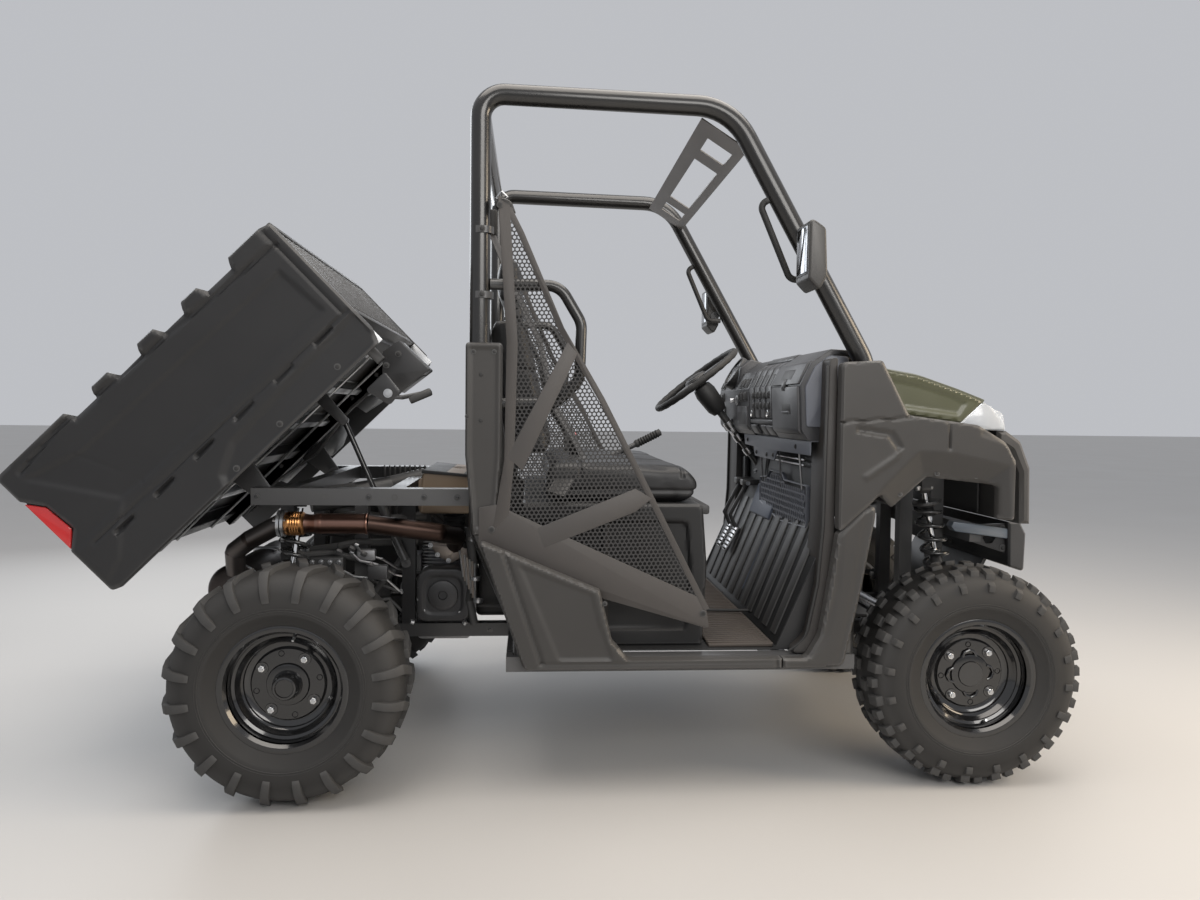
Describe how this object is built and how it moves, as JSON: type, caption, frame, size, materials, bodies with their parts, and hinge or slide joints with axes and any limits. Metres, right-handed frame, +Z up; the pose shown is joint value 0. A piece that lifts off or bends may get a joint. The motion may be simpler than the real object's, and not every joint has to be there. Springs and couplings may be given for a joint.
{
  "type": "side by side utility vehicle",
  "caption": "Side by side utility vehicle with an open tube cab, bench seats, side nets, lugged tyres, a hinged hood and a cargo bed that stands tipped on a strut.",
  "frame": {"origin": "under the middle of the bounding box, on the ground", "axes": "+X forward, +Y to the left, +Z up"},
  "size_m": [2.8888, 1.49, 1.8827],
  "materials": {
    "bed_charcoal": "textured moulded plastic",
    "bright_steel": "bright",
    "cage_black": "gloss black paint",
    "cast_grey": "as cast",
    "exhaust_steel": "heat tinted",
    "frame_black": "satin black paint",
    "handle_rubber": "moulded grip",
    "header_grey": "warm grey paint",
    "hood_green": "moulded sage green",
    "lamp_clear": "clear lens",
    "lamp_red": "red lens",
    "net_black": "woven mesh",
    "panel_grey": "satin moulded plastic",
    "rim_black": "gloss black",
    "tyre_rubber": "moulded rubber",
    "vinyl_black": "grained vinyl",
    "wheel_foam": "moulded rim",
    "zinc_steel": "zinc plated"
  },
  "bodies": {
    "chassis": {"airbox": "panel_grey", "bed_rails": "frame_black", "cab_frame": "cage_black", "dash": "panel_grey", "engine": "cast_grey", "exhaust": "exhaust_steel", "fenders": "panel_grey", "floor_pan": "panel_grey", "frame_posts": "frame_black", "front_bumper": "frame_black", "front_fascia": "panel_grey", "front_pillar_panels": "panel_grey", "gear_cases": "cast_grey", "grab_handles": "handle_rubber", "half_shafts": "zinc_steel", "header_plate": "header_grey", "headlamps": "lamp_clear", "headrests": "vinyl_black", "hip_bars": "cage_black", "main_frame": "frame_black", "pedals": "frame_black", "pillar_covers": "panel_grey", "rear_carriers": "cast_grey", "rockers": "panel_grey", "seat_backs": "vinyl_black", "seat_base": "frame_black", "seat_cushion": "vinyl_black", "shocks": "zinc_steel", "side_mirrors": "panel_grey", "side_nets": "net_black", "sill_frames": "frame_black", "steering_column": "frame_black", "suspension_arms": "frame_black"},
    "hood": {"hood": "hood_green"},
    "steering_wheel": {"steering_wheel": "wheel_foam"},
    "steering_rack": {"steering_rack": "zinc_steel"},
    "knuckle_right": {"knuckle_right": "cast_grey"},
    "knuckle_left": {"knuckle_left": "cast_grey"},
    "wheel_rear_right": {"rim_rear_right": "rim_black", "tyre_rear_right": "tyre_rubber"},
    "wheel_rear_left": {"rim_rear_left": "rim_black", "tyre_rear_left": "tyre_rubber"},
    "wheel_front_right": {"rim_front_right": "rim_black", "tyre_front_right": "tyre_rubber"},
    "wheel_front_left": {"rim_front_left": "rim_black", "tyre_front_left": "tyre_rubber"},
    "bed": {"bed_tub": "bed_charcoal", "bed_frame": "frame_black", "tail_lamps": "lamp_red"},
    "tailgate": {"tailgate": "bed_charcoal"},
    "strut_cylinder": {"strut_cylinder": "zinc_steel"},
    "strut_rod": {"strut_rod": "bright_steel"}
  },
  "joints": [
    {"name": "hood_open", "type": "hinge", "parent": "chassis", "child": "hood", "pos_m": [1.194, 0, 1.052], "axis": [0, 1, 0], "range_deg": [0, 65]},
    {"name": "steer_right", "type": "hinge", "parent": "chassis", "child": "knuckle_right", "pos_m": [1.14, -0.47, 0.3045], "axis": [0, 0, 1], "range_deg": [-28, 28]},
    {"name": "steer_left", "type": "hinge", "parent": "chassis", "child": "knuckle_left", "pos_m": [1.14, 0.47, 0.3045], "axis": [0, 0, 1], "range_deg": [-29, 29]},
    {"name": "rack_slide", "type": "slide", "parent": "chassis", "child": "steering_rack", "axis": [0, 1, 0], "range_m": [-0.0385, 0.0385]},
    {"name": "wheel_turn", "type": "hinge", "parent": "chassis", "child": "steering_wheel", "pos_m": [0.519, 0.35, 1.146], "axis": [-0.6157, 0, 0.788], "range_deg": [-340, 340]},
    {"name": "rear_right_spin", "type": "hinge", "parent": "chassis", "child": "wheel_rear_right", "pos_m": [-0.714, -0.6, 0.312], "axis": [0, 1, 0], "continuous": true},
    {"name": "front_right_spin", "type": "hinge", "parent": "knuckle_right", "child": "wheel_front_right", "pos_m": [1.14, -0.545, 0.3045], "axis": [0, 1, 0], "continuous": true},
    {"name": "rear_left_spin", "type": "hinge", "parent": "chassis", "child": "wheel_rear_left", "pos_m": [-0.714, 0.6, 0.312], "axis": [0, 1, 0], "continuous": true},
    {"name": "front_left_spin", "type": "hinge", "parent": "knuckle_left", "child": "wheel_front_left", "pos_m": [1.14, 0.545, 0.3045], "axis": [0, 1, 0], "continuous": true},
    {"name": "bed_tilt", "type": "hinge", "parent": "chassis", "child": "bed", "pos_m": [-0.826, 0, 0.782], "axis": [0, 1, 0], "range_deg": [0, 44.5]},
    {"name": "tailgate_drop", "type": "hinge", "parent": "bed", "child": "tailgate", "pos_m": [-1.25412, 0, 0.66552], "axis": [0, -1, 0], "range_deg": [0, 90]},
    {"name": "strut_swing", "type": "hinge", "parent": "chassis", "child": "strut_cylinder", "pos_m": [-0.467, -0.246, 0.56], "axis": [0, 1, 0], "range_deg": [-0.5, 4.01]},
    {"name": "strut_slide", "type": "slide", "parent": "strut_cylinder", "child": "strut_rod", "axis": [-0.3947, 0, 0.9188], "range_m": [-0.2063, 0.001]}
  ],
  "couplings": [
    {"joint": "steer_left", "follows": "steer_right", "ratio": 1},
    {"joint": "rack_slide", "follows": "steer_right", "m_per_rad": -0.07685},
    {"joint": "wheel_turn", "follows": "steer_right", "ratio": 12},
    {"joint": "strut_swing", "follows": "bed_tilt", "ratio": 0.07882},
    {"joint": "strut_slide", "follows": "bed_tilt", "m_per_rad": -0.26303}
  ]
}
